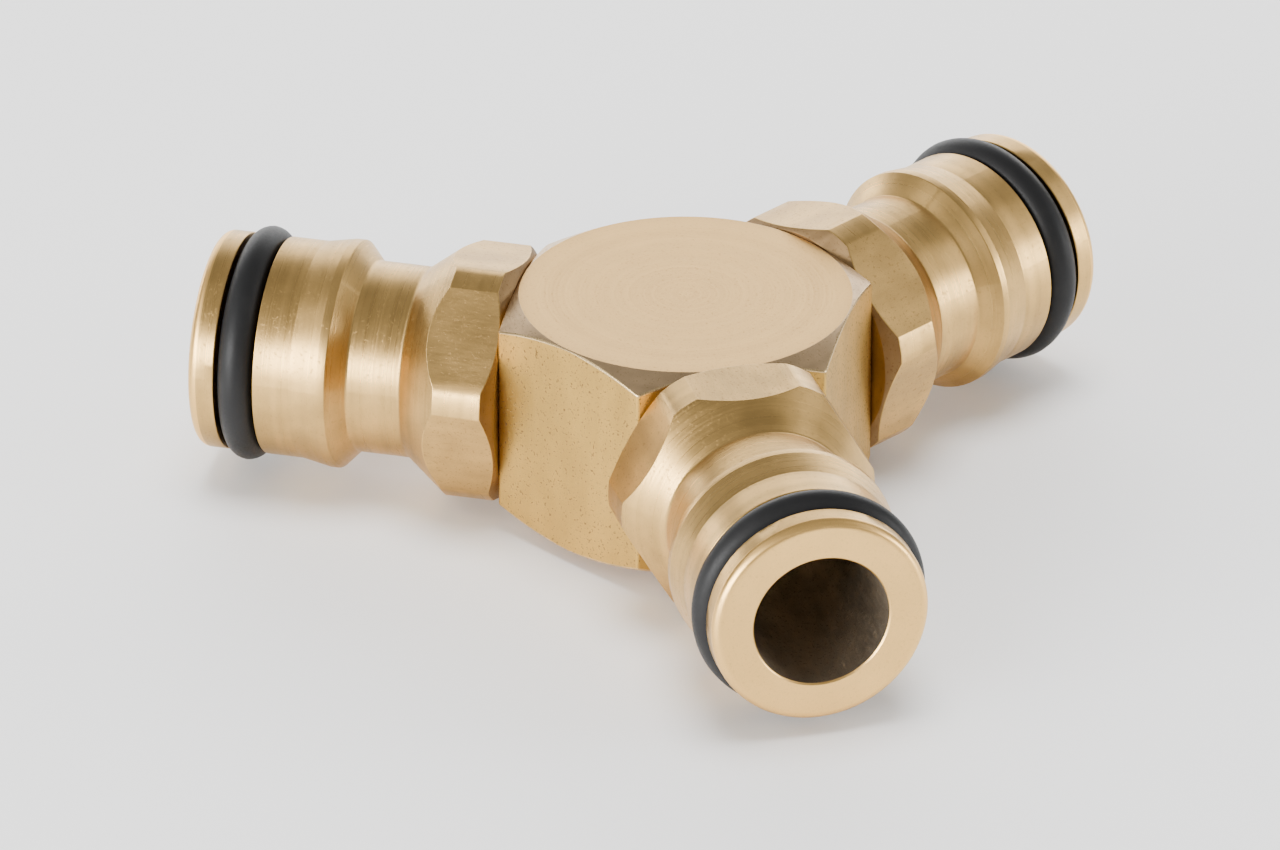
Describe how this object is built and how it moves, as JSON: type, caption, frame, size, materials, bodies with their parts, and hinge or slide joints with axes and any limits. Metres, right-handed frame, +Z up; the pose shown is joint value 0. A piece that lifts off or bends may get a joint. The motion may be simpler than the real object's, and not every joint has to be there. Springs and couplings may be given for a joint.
{
  "type": "three-way hose coupler",
  "caption": "Three-way brass hose coupler: a hexagonal hub with click-type male nipples at 120 degrees, each with an O-ring near its tip.",
  "frame": {"origin": "where the axes of the three ports cross, at mid-height of the hub", "axes": "+Z up, square to the plane of the three nipples; -Y out along the front nipple; the other two nipples point 30 and 150 degrees round from +X"},
  "size_m": [0.0676, 0.0589, 0.0182],
  "materials": {
    "hub_brass": "satin, brushed hexagonal bar",
    "nipple_brass": "satin, lathe turned",
    "black_rubber": "matt"
  },
  "bodies": {
    "root": {"hub_body": "hub_brass", "front_nipple": "nipple_brass", "front_o_ring": "black_rubber", "left_nipple": "nipple_brass", "left_o_ring": "black_rubber", "right_nipple": "nipple_brass", "right_o_ring": "black_rubber"}
  },
  "joints": []
}
